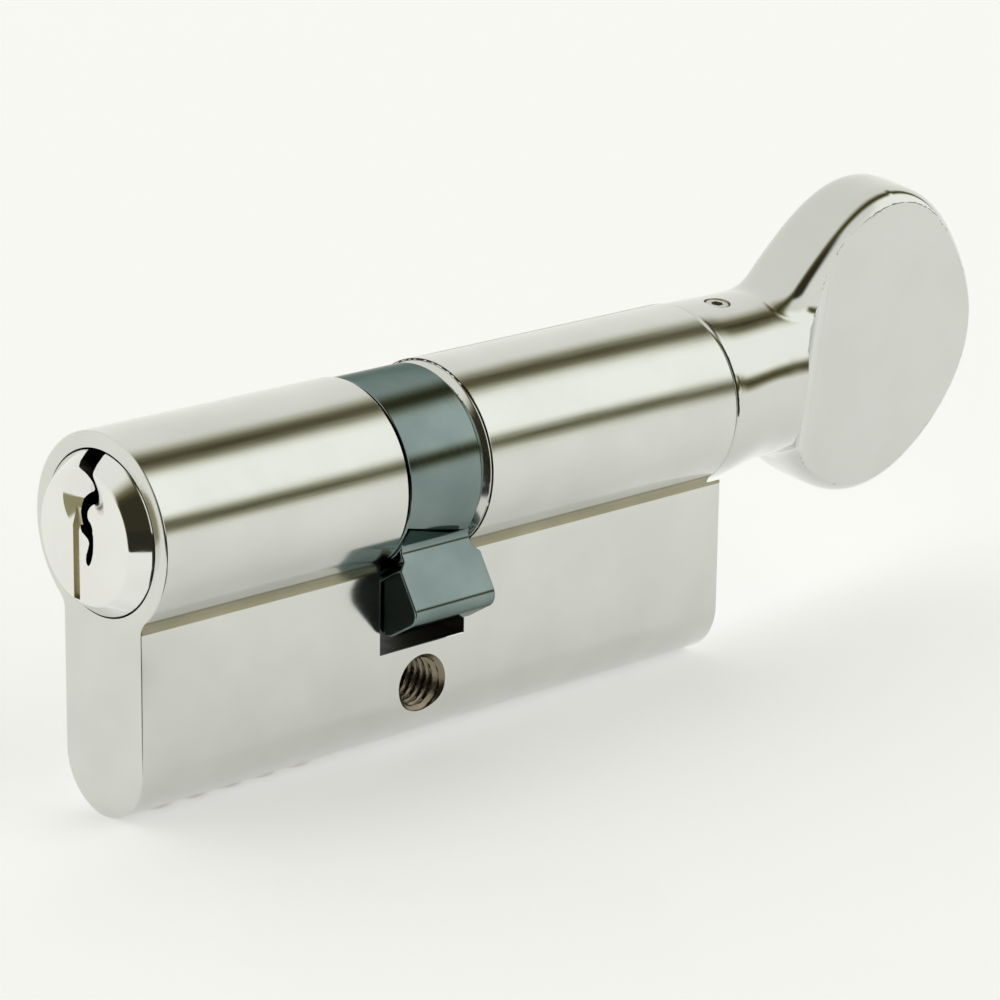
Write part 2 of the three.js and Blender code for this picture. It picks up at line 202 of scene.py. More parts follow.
def soften(obj, width, segments, angle, where=None):
    """Rounds the edges sharper than `angle`, or those of them whose middle passes `where`."""
    bm = bmesh.new()
    bm.from_mesh(obj.data)
    layers = bm.edges.layers.float
    layer = layers.get(EDGE_WEIGHT) or layers.new(EDGE_WEIGHT)
    for edge in bm.edges:
        sharp = len(edge.link_faces) == 2 and edge.calc_face_angle(0) > math.radians(angle)
        middle = (edge.verts[0].co + edge.verts[1].co) / 2
        edge[layer] = 1.0 if sharp and (where is None or where(middle)) else 0.0
    bm.to_mesh(obj.data)
    bm.free()
    mod = obj.modifiers.new("edges", "BEVEL")
    mod.width = width
    mod.segments = segments
    mod.limit_method = "WEIGHT"
    mod.use_clamp_overlap = False
    mod.miter_outer = "MITER_SHARP"
    return bake(obj)


def spin(obj, angle):
    """Turns the mesh about the barrel's axis."""
    centre = Matrix.Translation((0, 0, AXIS_Z))
    obj.data.transform(centre @ Matrix.Rotation(angle, 4, "X") @ centre.inverted())
    return obj


def lined(obj, material):
    """Adds a finish, or painted shade. On a cutting tool, it is what its cut leaves."""
    obj.data.materials.append(material)
    return obj


def place(obj, body, node, smooth=32.0):
    """Metres, shading, and the CAD body and node that the piece stands for."""
    obj.data.transform(Matrix.Scale(MM, 4))
    obj.data.shade_smooth()
    obj.data.set_sharp_from_angle(angle=math.radians(smooth))
    mod = obj.modifiers.new("even_shading", "WEIGHTED_NORMAL")
    mod.mode = "FACE_AREA"
    mod.weight = 50
    mod.keep_sharp = True
    bake(obj)
    weights = obj.data.attributes.get(EDGE_WEIGHT)
    if weights is not None:
        obj.data.attributes.remove(weights)
    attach(obj, body)
    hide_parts(node)


# ---------------------------------------------------------------- shader nodes
def node_tree(name):
    material = bpy.data.materials.new(name)
    material.use_nodes = True
    tree = material.node_tree
    return material, tree, tree.nodes["Principled BSDF"]


def add_node(tree, kind, **settings):
    node = tree.nodes.new(kind)
    for key, value in settings.items():
        node.inputs[key].default_value = value
    return node


def feed(tree, socket, value):
    """Sets a socket to a number or a colour, or links another node's output to it."""
    if isinstance(value, (int, float, tuple)):
        socket.default_value = value
    else:
        tree.links.new(value, socket)


def combine(tree, kind, *values):
    node = add_node(tree, "ShaderNodeMath")
    node.operation = kind
    for socket, value in zip(node.inputs, values):
        feed(tree, socket, value)
    return node.outputs["Value"]


def map_range(tree, value, start, end, low, high, kind="LINEAR"):
    """From `low` where the value is `start` to `high` where it is `end`, and level beyond."""
    node = add_node(tree, "ShaderNodeMapRange")
    node.interpolation_type = kind
    for key, number in (("From Min", start), ("From Max", end), ("To Min", low), ("To Max", high)):
        node.inputs[key].default_value = number
    tree.links.new(value, node.inputs["Value"])
    return node.outputs["Result"]


def ease(tree, value, start, end):
    """A smooth rise from 0 at `start` to 1 at `end`, which may be the lower of the two."""
    if start < end:
        return map_range(tree, value, start, end, 0.0, 1.0, "SMOOTHSTEP")
    return map_range(tree, value, end, start, 1.0, 0.0, "SMOOTHSTEP")


def ramp(tree, value, stops):
    """A colour for each value; stops are [(position, colour)]."""
    node = add_node(tree, "ShaderNodeValToRGB")
    elements = node.color_ramp.elements
    for _ in stops[2:]:
        elements.new(0.5)
    for i, (position, colour) in enumerate(stops):
        elements[i].position = position
        elements[i].color = (*colour, 1)
    tree.links.new(value, node.inputs["Fac"])
    return node.outputs["Color"]


def mixed(tree, kind, amount, first, second):
    node = add_node(tree, "ShaderNodeMix")
    node.data_type = "RGBA"
    node.blend_type = kind
    for name, value in (("Factor", amount), ("A", first), ("B", second)):
        socket = [s for s in node.inputs if s.name == name and s.enabled][0]
        feed(tree, socket, value)
    return [s for s in node.outputs if s.enabled][0]


def noise(tree, stretch, scale, detail):
    """Noise in the object's own space, drawn out by `stretch` in each direction."""
    coordinates = add_node(tree, "ShaderNodeTexCoord")
    mapping = add_node(tree, "ShaderNodeMapping", Scale=stretch)
    tree.links.new(coordinates.outputs["Object"], mapping.inputs["Vector"])
    texture = add_node(tree, "ShaderNodeTexNoise", Scale=scale, Detail=detail, Roughness=0.55)
    tree.links.new(mapping.outputs["Vector"], texture.inputs["Vector"])
    return texture.outputs["Fac"]


# ---------------------------------------------------------------- finishes and painted shade
ALONG = (1.0, 30.0, 30.0)  # lines run along the barrel
AROUND = (30.0, 1.5, 1.5)  # turning marks
EVEN = (1.0, 1.0, 1.0)
CLOUD_SCALE = 140.0
LINE_DEPTH = 4e-6


def metal(name, light, dark, rough, stretch, line_scale, grain=0.12, edge_tint=(1.0, 1.0, 1.0)):
    """A metal with drawn-out polishing lines, cloudy tone and a little change in gloss."""
    material, tree, shader = node_tree(name)
    shader.inputs["Metallic"].default_value = 1.0
    shader.inputs["Specular Tint"].default_value = (*edge_tint, 1)
    clouds = noise(tree, EVEN, CLOUD_SCALE, detail=3)
    lines = noise(tree, stretch, line_scale, detail=5)
    tone = ramp(tree, clouds, ((0.35, dark), (0.65, light)))
    tree.links.new(tone, shader.inputs["Base Color"])
    tree.links.new(map_range(tree, lines, 0.3, 0.7, *rough), shader.inputs["Roughness"])
    bump = add_node(tree, "ShaderNodeBump", Strength=grain, Distance=LINE_DEPTH)
    tree.links.new(lines, bump.inputs["Height"])
    tree.links.new(bump.outputs["Normal"], shader.inputs["Normal"])
    return material


SATIN_NICKEL = metal("satin_nickel", (0.715, 0.725, 0.69), (0.675, 0.685, 0.65), (0.12, 0.17),
                     ALONG, 160.0)
PLUG_NICKEL = metal("plug_nickel", (0.84, 0.845, 0.82), (0.81, 0.81, 0.785), (0.07, 0.12),
                    EVEN, 900.0, grain=0.06)
POLISHED_NICKEL = metal("polished_nickel", (0.68, 0.69, 0.665), (0.66, 0.67, 0.64), (0.07, 0.11),
                        EVEN, 500.0, grain=0.05)
BLACK_NICKEL = metal("black_nickel", (0.235, 0.29, 0.285), (0.18, 0.235, 0.23), (0.08, 0.13),
                     AROUND, 150.0, edge_tint=(0.38, 0.42, 0.40))
BARE_BRASS = metal("bare_brass", (0.80, 0.58, 0.24), (0.70, 0.49, 0.19), (0.2, 0.32),
                   EVEN, 1400.0)
HARD_STEEL = metal("hard_steel", (0.56, 0.56, 0.55), (0.46, 0.46, 0.45), (0.22, 0.34),
                   EVEN, 1200.0)
SPRING_STEEL = metal("spring_steel", (0.30, 0.29, 0.27), (0.22, 0.21, 0.19), (0.25, 0.38),
                     EVEN, 1500.0)
# painted shade: a near-black lining for the bores, the cam slot, the keyway and the notches, where
# shade falls
PAINTED_SHADE_LINING = metal("painted_shade_lining", (0.035, 0.031, 0.024), (0.02, 0.018, 0.013), (0.38, 0.55),
               EVEN, 700.0)
# painted shade: a darker olive for the hollow between barrel and web, where shade gathers
CREASE_PAINTED_SHADE = metal("crease_painted_shade", (0.40, 0.38, 0.27), (0.33, 0.31, 0.21), (0.18, 0.26),
                      ALONG, 160.0)
HOLE = metal("tapped_hole", (0.30, 0.26, 0.19), (0.15, 0.125, 0.085), (0.2, 0.32), EVEN, 900.0)
THREAD = metal("thread_cut", (0.70, 0.67, 0.50), (0.58, 0.55, 0.40), (0.25, 0.4), AROUND, 900.0)


# ---------------------------------------------------------------- body
def body_section(inset):
    """The euro profile in (y, z over the axis), every face set in by `inset`."""
    tilt = math.degrees(math.atan2(CREASE_DROP, CREASE_Y))
    barrel = arc((0, 0), BARREL_R - inset, -tilt, 180 + tilt, 180)
    left_crease = arc((-CREASE_Y, -CREASE_DROP), CREASE + inset, tilt, 0, 6)
    foot = arc((0, FOOT_Z - AXIS_Z), WEB_HALF - inset, 180, 360, 72)
    right_crease = arc((CREASE_Y, -CREASE_DROP), CREASE + inset, 180, 180 - tilt, 6)
    return np.array(barrel + left_crease[1:] + foot + right_crease[:-1])


def rounded_ends(name, section, x0, x1, radius):
    """A section pulled along X, whose end edges are rounded."""
    rings = []
    for x, inward in ((x0, 1), (x1, -1)):
        end = []
        for turn in np.linspace(0, math.pi / 2, 5):
            flat = section(radius * (1 - math.sin(turn)))
            along = x + inward * radius * (1 - math.cos(turn))
            end.append(np.c_[np.full(len(flat), along), flat[:, 0], AXIS_Z + flat[:, 1]])
        rings += end if inward > 0 else end[::-1]
    return loft(name, rings)


def paint_crease_shade(body):
    """Paints shade into the hollow between barrel and web, as the body's second material."""
    lined(body, CREASE_PAINTED_SHADE)
    for face in body.data.polygons:
        across = abs(face.center.y) - CREASE_Y
        far = math.hypot(across, face.center.z - (AXIS_Z - CREASE_DROP))
        if far < CREASE * 1.02 and abs(face.normal.x) < 0.5:
            face.material_index = 1


def cam_slot():
    """What is cut out for the cam, less the rim that stands beside the cam's ring."""
    slot = lined(block("tool", -4.85, 4.85, -10, 10, -15, 10), PAINTED_SHADE_LINING)
    rim = lined(turned("tool", [(3.9, 7.3), (4.72, 8.36), (5.5, 8.36)], 160), SATIN_NICKEL)
    carve(rim, turned("tool", [(3, 6.8), (6, 6.8)], 96))
    return carve(slot, rim)


def thread_tool():
    """The M5 hole: a helical thread between two countersunk mouths, along Y at the origin."""
    major, minor, pitch = 2.5, 2.08, 0.8
    mouth, mouth_slope = 2.72, 0.9
    flank_slope, crest = 3.4, 0.12
    segments, per_turn = 72, 10
    half = WEB_HALF + 0.3
    steps = int(2 * half / pitch * per_turn)
    rings = []
    for k in range(steps + 1):
        y = -half + 2 * half * k / steps
        sunk = mouth + mouth_slope * (abs(y) - WEB_HALF)
        ring = []
        for i in range(segments):
            a = TURN * i / segments
            phase = (y / pitch - i / segments) % 1.0
            ridge = min(1.0, max(0.0, flank_slope * (abs(phase - 0.5) - crest)))
            r = max(minor + (major - minor) * (1 - ridge), sunk)
            ring.append((r * math.cos(a), y, r * math.sin(a)))
        rings.append(ring)
    return loft("tool", rings)


def body_edge(p):
    """Whether an edge is one of the cam slot's, or of the step that the thumbturn's collar meets."""
    by_slot = -9.5 < p.x < 5.5 and p.z > 3.5 and (abs(p.y) > 4.9 or p.z > AXIS_Z + 6)
    return by_slot or (p.x > 34.8 and abs(p.y) > 2)


def make_body():
    body = rounded_ends("body_shell", body_section, KEY_END, WEB_END, END_ROUND)
    lined(body, SATIN_NICKEL)
    paint_crease_shade(body)
    carve(body, turned("tool", [(BARREL_END, 8.8), (WEB_END + 1, 8.8)], 160))
    carve(body, cam_slot())
    plug_bore = turned("tool", [(KEY_END - 1, 7.1), (-28.9, 7.1), (-28.9, 6.55), (-6.8, 6.55),
                                (-6.8, 7.6), (-2, 7.6)])
    spindle_bore = turned("tool", [(2, 5.05), (WEB_END + 1, 5.05)])
    carve(body, lined(plug_bore, PAINTED_SHADE_LINING), lined(spindle_bore, PAINTED_SHADE_LINING), lined(thread_tool(), HOLE))
    for x in PIN_PLACES:
        carve(body, lined(turned_up("tool", [(-26, PIN_BORE_R), (-5, PIN_BORE_R)], x), PAINTED_SHADE_LINING))
    clean(body)
    soften(body, 0.14, 3, 30, body_edge)
    place(body, "body", "cylinder_body", smooth=28)


# ---------------------------------------------------------------- plug
PLUG_FACE = -32.67
DIMPLE_UP, DIMPLE_R = 3.0, 2.66  # the shallow countersink that the keyway's top lies in

KEYWAY = [  # (y, z over the axis), open at the plug's top: down one side, up the other
    (1.3, 8), (1.3, 6.8), (0.95, 5.85), (-0.25, 5.55), (-0.85, 5), (-1.1, 4.6), (-1.05, 4.1),
    (0.1, 3.6), (0.75, 3.1), (0.95, 2.5), (0.95, 1.8), (0.75, 1), (0.4, 0.45), (-0.15, 0.2),
    (-0.7, -0.15), (-0.6, -0.7), (-0.2, -1.6), (-0.3, -2.2), (-0.6, -2.35), (-0.95, -1.8),
    (-1.2, -0.8), (-1.2, 0.65), (-0.7, 1.15), (0, 1.45), (0.25, 1.95), (0.1, 2.4), (-0.4, 2.75),
    (-1.5, 3.15), (-1.8, 3.95), (-1.65, 4.6), (-1.3, 5.5), (-0.9, 6.4), (-0.9, 8),
]


def corners_cut(points, share):
    """Cuts every corner of a closed outline, by a share of each side that meets there."""
    points = np.asarray(points, float)
    after = np.roll(points, -1, axis=0)
    pair = np.stack([points + share * (after - points), after - share * (after - points)], 1)
    return pair.reshape(-1, 2)


def plug_core():
    """The turned plug: bevelled face, shoulder, barrel, ring groove and tail."""
    return lined(turned("plug_core", [
        (PLUG_FACE, 5.55), (-32.62, 5.72), (-32.5, 5.86), (-31.2, 6.88), (-31.05, 6.96),
        (-30.9, 7.0), (-29.0, 7.0), (-29.0, 6.5), (-6.6, 6.5), (-6.6, 5.7), (-5.6, 5.7),
        (-5.6, 6.45), (-4.7, 6.45), (-4.7, 5.0), (-2.6, 5.0),
    ], 144), PLUG_NICKEL)


def face_tools():
    """The countersink and the narrow groove in the plug's face."""
    dimple = turned("tool", [(-32.97, 3.46), (PLUG_FACE, DIMPLE_R), (-31.69, 0.05)], 72,
                    at=(0.0, AXIS_Z + DIMPLE_UP))
    groove = block("tool", -33, -32.2, 0.66, 1.42, -5.45, 2.2)
    return dimple, lined(groove, THREAD)


def make_plug():
    plug = plug_core()
    carve(plug, *face_tools())
    keyway = prism_x("tool", corners_cut(KEYWAY, 0.25), -34, 0)
    clutch_notch = block("tool", -3.9, 0, -7, 7, -1.15, 1.15)
    carve(plug, lined(keyway, PAINTED_SHADE_LINING), lined(clutch_notch, PAINTED_SHADE_LINING))
    for x in PIN_PLACES:
        carve(plug, lined(turned_up("tool", [(-8, PIN_BORE_R), (2, PIN_BORE_R)], x), PAINTED_SHADE_LINING))
    clean(plug, 0.02)
    soften(plug, 0.03, 2, 24, lambda p: p.x < -32.64)
    place(plug, "plug", "plug", smooth=18)


# ---------------------------------------------------------------- circlips
def open_ring(name, x0, x1, inner, outer, opening, lug):
    """A circlip with its opening down: an open ring whose ends widen into pierced lugs."""
    half = opening / 2
    lug_past_end = 5  # degrees
    outline = arc((0, 0), outer, -90 + half, 270 - half, 96)
    outline += arc((0, 0), inner, 270 - half, -90 + half, 96)
    ring = lined(prism_x(name, outline, x0, x1), SPRING_STEEL)
    middle = (inner + outer) / 2
    for side in (-1, 1):
        angle = math.radians(-90 + side * (half + lug_past_end))
        centre = (middle * math.cos(angle), middle * math.sin(angle))
        join(ring, prism_x("tool", circle(centre, lug, 24), x0, x1))
        carve(ring, prism_x("tool", circle(centre, lug * 0.45, 16), x0 - 1, x1 + 1))
    return soften(ring, 0.06, 2, 40)


def make_circlips():
    ring = open_ring("plug_retaining_ring", -6.5, -5.7, 5.85, 7.35, 70, 0.72)
    place(ring, "plug", "plug_circlip")
    ring = open_ring("spindle_retaining_ring", 4.0, 4.68, 4.4, 6.6, 80, 1.0)
    place(ring, "thumbturn", "spindle_circlip")


# ---------------------------------------------------------------- springs
def coil(name, radius, wire, length, turns, at, direction):
    """A wire spring whose end turns are closed flat, drawn along Z and then turned to `direction`."""
    steps, sides = 28 * turns, 10
    closed = 0.75 / turns  # the share of the wire in each dead end turn
    path = []
    for i in range(steps + 1):
        t = i / steps
        a = TURN * turns * t
        rise = min(1.0, max(0.0, (t - closed) / (1 - 2 * closed)))
        path.append((radius * math.cos(a), radius * math.sin(a), wire + (length - 2 * wire) * rise))
    path = np.array(path)
    tangent = np.gradient(path, axis=0)
    tangent /= np.linalg.norm(tangent, axis=1)[:, None]
    outward = np.c_[path[:, 0], path[:, 1], np.zeros(len(path))] / radius
    aside = np.cross(tangent, outward)
    angles = np.arange(sides) * TURN / sides
    rings = [p + wire * (np.outer(np.cos(angles), n) + np.outer(np.sin(angles), s))
             for p, n, s in zip(path, outward, aside)]
    spring = loft(name, rings)
    turn = Vector((0, 0, 1)).rotation_difference(Vector(direction)).to_matrix().to_4x4()
    spring.data.transform(Matrix.Translation(at) @ turn)
    return lined(spring, SPRING_STEEL)


def make_clutch_spring():
    spring = coil("clutch_spring_coil", 2.2, 0.27, 7.6, 5, (0.1, 0, AXIS_Z), (1, 0, 0))
    place(spring, "cam", "clutch_spring", smooth=60)
    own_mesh(spring)


# ---------------------------------------------------------------- pin stacks
KEY_PIN_TIPS = (-1.2, 0.3, -0.5, 0.8, -1.6)  # heights over the axis, for a key with five cuts
SPRING_FOOT = -20.6  # height over the axis


def make_key_pin(i, x, tip):
    pin = turned_up(f"key_pin_turned_{i}", [
        (-6.3, 1.2), (-6.24, 1.34), (-6.1, PIN_R), (tip - 1.2, PIN_R), (tip - 0.1, 0.56),
        (tip - 0.02, 0.4), (tip, 0.15)], x)
    place(lined(pin, BARE_BRASS), f"key_pin_{i}", f"key_pin_{i}")


def make_driver_pin(i, x):
    pin = turned_up(f"driver_pin_turned_{i}", [
        (-11.2, 1.15), (-11.05, 1.38), (-10.9, PIN_R), (-6.9, PIN_R), (-6.72, 1.36),
        (-6.62, 1.2)], x)
    place(lined(pin, HARD_STEEL), f"driver_pin_{i}", f"driver_pin_{i}")


def make_pin_spring(i, x):
    foot = AXIS_Z + SPRING_FOOT
    spring = coil(f"pin_spring_coil_{i}", 1.02, 0.19, 9.1, 7, (x, 0, foot), (0, 0, 1))
    place(spring, "body", f"pin_spring_{i}", smooth=60)
    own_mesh(spring)


def make_chamber_cap(i, x):
    cap = turned_up(f"chamber_plug_{i}", [
        (-24.0, 0.35), (-23.96, 1.22), (-23.86, 1.38), (-23.7, PIN_R), (-21.1, PIN_R),
        (-21.0, 1.32)], x)
    place(lined(cap, BARE_BRASS), "body", f"chamber_cap_{i}")


def make_pin_stacks():
    for i, (x, tip) in enumerate(zip(PIN_PLACES, KEY_PIN_TIPS), 1):
        make_key_pin(i, x, tip)
        make_driver_pin(i, x)
        make_pin_spring(i, x)
        make_chamber_cap(i, x)


# ---------------------------------------------------------------- cam and clutch
CAM_R = 8.3
LEVER_HALF = 2.66  # half the lever's width
LEVER_END = 4.65  # half its length along the barrel
LEVER_TIP_Z, LEVER_TIP_R = -13.13, 1.3
LEVER_FILLET = 1.0


def lever_outline():
    """The lever in (y, z over the axis) before it is swung to its rest, with a rounded tip."""
    top = -5.0
    inner = LEVER_HALF - LEVER_TIP_R
    outline = [(-LEVER_HALF, top), (-LEVER_HALF, LEVER_TIP_Z + 0.1)]
    outline += arc((-inner, LEVER_TIP_Z), LEVER_TIP_R, 180, 262, 10)
    outline += arc((inner, LEVER_TIP_Z), LEVER_TIP_R, 278, 360, 10)
    return outline + [(LEVER_HALF, top)]


def lever_flank(side):
    """The fillet between one side of the lever and the ring."""
    out = LEVER_HALF + LEVER_FILLET
    drop = math.sqrt((CAM_R + LEVER_FILLET) ** 2 - out**2)
    tilt = math.degrees(math.atan2(drop, out))
    curve = arc((-out, -drop), LEVER_FILLET, tilt, 0, 10)
    flank = [(-side * y, z) for y, z in [(0, -7.5)] + curve + [(0, -drop)]]
    return prism_x("tool", flank, -LEVER_END, LEVER_END)


def lever_relief(side):
    """What is cut from one end of the lever, so that its neck is shorter than its tip."""
    return prism_y("tool", [
        (side * 3.95, -4.5), (side * 3.95, -9.0), (side * 4.8, -9.9), (side * 4.8, -4.5)], -5, 5)


def cam_lever():
    lever = prism_x("tool", lever_outline(), -LEVER_END, LEVER_END)
    join(lever, lever_flank(-1), lever_flank(1))
    carve(lever, lever_relief(-1), lever_relief(1))
    return spin(lever, LEVER_REST)


def drive_bore():
    """The bore that the spindle's flattened end drives."""
    bore = turned("tool", [(0.0, 5.1), (4.8, 5.1)])
    return carve(bore, block("tool", -1, 6, -7, 7, -7, -3.95), block("tool", -1, 6, -7, 7, 3.95, 7))


def make_cam():
    ring = lined(turned("cam_ring", [(-4.45, CAM_R), (3.75, CAM_R)], 160), BLACK_NICKEL)
    join(ring, cam_lever())
    clutch_bore = turned("tool", [(-5.5, 5.5), (1.0, 5.5)])
    clutch_notch = block("tool", -5.5, 1.0, -1.2, 1.2, -6.4, 6.4)
    carve(ring, lined(clutch_bore, PAINTED_SHADE_LINING), lined(clutch_notch, PAINTED_SHADE_LINING), lined(drive_bore(), PAINTED_SHADE_LINING))
    clean(ring)
    soften(ring, 0.17, 4, 32, lambda p: math.hypot(p.y, p.z - AXIS_Z) > 7)
    place(ring, "cam", "cam", smooth=30)


def make_clutch():
    dog = turned("clutch_dog", [(-1.2, 4.75), (-1.05, 4.9), (-0.25, 4.9), (-0.1, 4.75)])
    lined(dog, HARD_STEEL)
    join(dog, block("tool", -1.2, -0.1, -1.0, 1.0, -6.1, 6.1),
         block("tool", -2.25, -1.0, -4.4, 4.4, -0.95, 0.95))
    soften(dog, 0.1, 2, 40)
    place(dog, "clutch", "clutch")


# ---------------------------------------------------------------- thumbturn
def onto(field, points):
    """The step from each point to the surface."""
    reach = 0.01
    value = field(points)[:, None]
    slope = np.stack([
        (field(points + reach * d) - field(points - reach * d)) / (2 * reach) for d in np.eye(3)
    ], 1)
    return value * slope / np.maximum((slope**2).sum(1, keepdims=True), 1e-6)


def evened(field, verts, faces):
    """The vertices, drawn towards the mean of their neighbours and put back on the surface."""
    ends = np.concatenate([faces[:, [i, (i + 1) % 4]] for i in range(4)])
    degree = np.bincount(ends.ravel(), minlength=len(verts))[:, None]
    for _ in range(6):
        total = np.zeros_like(verts)
        np.add.at(total, ends[:, 0], verts[ends[:, 1]])
        np.add.at(total, ends[:, 1], verts[ends[:, 0]])
        verts = verts + 0.6 * (total / degree - verts)
        for _ in range(3):
            verts = verts - onto(field, verts)
    return verts


def skin(field, low, high, step):
    """Vertices and quads of the surface field = 0 (negative inside), one vertex to a crossed cell."""
    axes = [np.arange(a, b + step, step) for a, b in zip(low, high)]
    grid = np.stack(np.meshgrid(*axes, indexing="ij"), -1)
    inside = field(grid) < 0
    count = sum(
        inside[i:inside.shape[0] - 1 + i, j:inside.shape[1] - 1 + j, k:inside.shape[2] - 1 + k]
        .astype(int)
        for i in (0, 1) for j in (0, 1) for k in (0, 1)
    )
    crossed = (count > 0) & (count < 8)
    index = np.full(crossed.shape, -1)
    index[crossed] = np.arange(crossed.sum())
    verts = np.array(low) + step * (np.argwhere(crossed) + 0.5)
    faces = np.concatenate([quads_across(axis, inside, index) for axis in range(3)])
    faces = faces[(faces >= 0).all(1)]
    return evened(field, verts, faces), faces


def quads_across(axis, inside, index):
    """One quad for each grid edge along `axis` that the surface crosses."""
    one, two = [d for d in range(3) if d != axis]
    first = [slice(1, -1)] * 3
    first[axis] = slice(0, -1)
    after = list(first)
    after[axis] = slice(1, None)
    crossing = np.argwhere(inside[tuple(first)] != inside[tuple(after)])
    crossing[:, one] += 1
    crossing[:, two] += 1
    ring = []
    for a, b in ((0, 0), (1, 0), (1, 1), (0, 1)):
        cell = crossing.copy()
        cell[:, one] -= a
        cell[:, two] -= b
        ring.append(index[tuple(cell.T)])
    return np.stack(ring, 1)


EGG = {"x": 59.1, "up": 1.7, "mean": 14.72, "oval": 0.2, "oval_at": 1.9, "taper": -0.4,
       "taper_at": 0.26, "square": 0.45, "half_thick": 4.6, "fullness": 5.0}
EGG_SCALE = 12.0  # makes the egg's field about a distance in mm
NECK_R = 8.35
NECK_STOP = 56.0  # inside the egg
WAIST = {"start": 36.8, "length": 6.5, "up": 0.4, "in": 0.45}  # how the neck narrows past its collar
BLEND = 1.3  # between egg and neck
FLAT_Y = 3.65
GRID = 0.34
SCREW_X = 40.0


def knob_field(points):
    """The knob before its sides are cut: an egg, flattened along Y, that flows into the neck."""
    x, y, z = points[..., 0], points[..., 1], points[..., 2]
    dx, dz = x - EGG["x"], z - EGG["up"]
    angle = np.arctan2(dz, dx)
    reach = (EGG["mean"] + EGG["oval"] * np.cos(2 * (angle - EGG["oval_at"]))
             + EGG["taper"] * np.cos(3 * (angle - EGG["taper_at"]))
             + EGG["square"] * np.cos(4 * angle))
    power = EGG["fullness"]
    egg = ((np.hypot(dx, dz) / reach) ** power + np.abs(y / EGG["half_thick"]) ** power) ** (1 / power)
    egg = (egg - 1) * EGG_SCALE
    waist = np.clip((x - WAIST["start"]) / WAIST["length"], 0, 1)
    waist = waist * waist * (3 - 2 * waist)
    neck = np.hypot(y, z - WAIST["up"] * waist) - NECK_R + WAIST["in"] * waist
    neck = np.maximum(neck, x - NECK_STOP)
    near = np.maximum(BLEND - np.abs(egg - neck), 0) / BLEND
    return np.minimum(egg, neck) - near * near * BLEND / 4


def scoop_tool(side):
    """What is milled from one side: the flat, and the hollow that leads down to it from the neck."""
    start, end, deep = 44.8, 52.4, NECK_R + 0.4 - FLAT_Y
    beyond_x, beyond_y, steps = 80, 14, 32
    radius = ((end - start) ** 2 + deep**2) / (2 * deep)
    sweep = math.asin((end - start) / radius)
    line = []
    for i in range(steps + 1):
        a = sweep * (1 - i / steps)
        line.append((end - radius * math.sin(a), side * (FLAT_Y + radius * (1 - math.cos(a)))))
    line += [(beyond_x, side * FLAT_Y), (beyond_x, side * beyond_y), (start, side * beyond_y)]
    return prism_z("tool", line, -20, 20)


def knob_blank():
    """The knob's skin as a closed solid."""
    verts, faces = skin(knob_field, (34.0, -9.9, -14.6), (75.4, 9.9, 18.2), GRID)
    verts[:, 2] += AXIS_Z
    knob = mesh_object("thumbturn_knob", verts, [tuple(map(int, f)) for f in faces])
    bm = bmesh.new()
    bm.from_mesh(knob.data)
    bmesh.ops.holes_fill(bm, edges=[e for e in bm.edges if e.is_boundary], sides=0)
    bmesh.ops.recalc_face_normals(bm, faces=bm.faces)
    bm.to_mesh(knob.data)
    bm.free()
    return lined(knob, POLISHED_NICKEL)


def make_thumbturn():
    knob = knob_blank()
    collar = turned("tool", [(30, 12), (35.82, 12), (35.82, 8.42), (35.7, 8.33), (35.58, 8.22),
                             (35.5, 8.05), (35.5, 1.0)], 160)
    carve(knob, collar, scoop_tool(-1), scoop_tool(1))
    spindle_bore = turned("tool", [(35, 5.1), (47.4, 5.1)])
    screw_hole = turned_up("tool", [(0, 1.25), (9.5, 1.25)], SCREW_X)
    carve(knob, lined(spindle_bore, PAINTED_SHADE_LINING), lined(screw_hole, THREAD))
    clean(knob, 0.05)
    soften(knob, 0.09, 2, 24, lambda p: p.x > 46)
    spin(knob, KNOB_REST)
    place(knob, "thumbturn", "thumbturn", smooth=22)


def make_set_screw():
    screw = turned_up("grub_screw", [(4.55, 0.7), (4.7, 1.0), (4.9, 1.18), (8.0, 1.18),
                                     (8.14, 1.1), (8.2, 1.0)], SCREW_X)
    lined(screw, HARD_STEEL)
    socket = prism_z("tool", circle((SCREW_X, 0.0), 0.6, 6), 6.5, 9.0)
    carve(screw, lined(socket, THREAD))
    spin(screw, KNOB_REST)
    place(screw, "thumbturn", "thumbturn_set_screw", smooth=30)


def make_spindle():
    shaft = turned("spindle_shaft", [
        (1.3, 4.7), (1.6, 5.0), (3.93, 5.0), (3.93, 4.3), (4.75, 4.3), (4.75, 5.0),
        (46.6, 5.0), (47.0, 4.6)], 96)
    lined(shaft, HARD_STEEL)
    spring_bore = lined(turned("tool", [(0, 2.75), (8, 2.75)], 64), PAINTED_SHADE_LINING)
    carve(shaft, spring_bore, block("tool", 0, 3.85, -6, 6, 3.9, 7),
          block("tool", 0, 3.85, -6, 6, -7, -3.9))
    screw_landing = block("tool", 37.4, 43.4, -6, 6, 4.4, 7)
    carve(shaft, spin(screw_landing, KNOB_REST))
    soften(shaft, 0.08, 2, 50, lambda p: p.x < 4)
    place(shaft, "thumbturn", "thumbturn_spindle", smooth=30)


# ---------------------------------------------------------------- studio
CAMERA_PLACE = (-226.5, -251.1, 115.6)
CAMERA_TURN = (73.525, -0.745, -43.524)  # degrees
CAMERA_LENS = 146.97


def make_camera():
    camera = bpy.data.cameras.new("camera")
    camera.sensor_width = 36.0
    camera.lens = CAMERA_LENS
    camera.clip_start, camera.clip_end = 0.01, 20.0
    holder = link("camera", camera)
    holder.location = [v * MM for v in CAMERA_PLACE]
    holder.rotation_euler = [math.radians(v) for v in CAMERA_TURN]
    scene.camera = holder


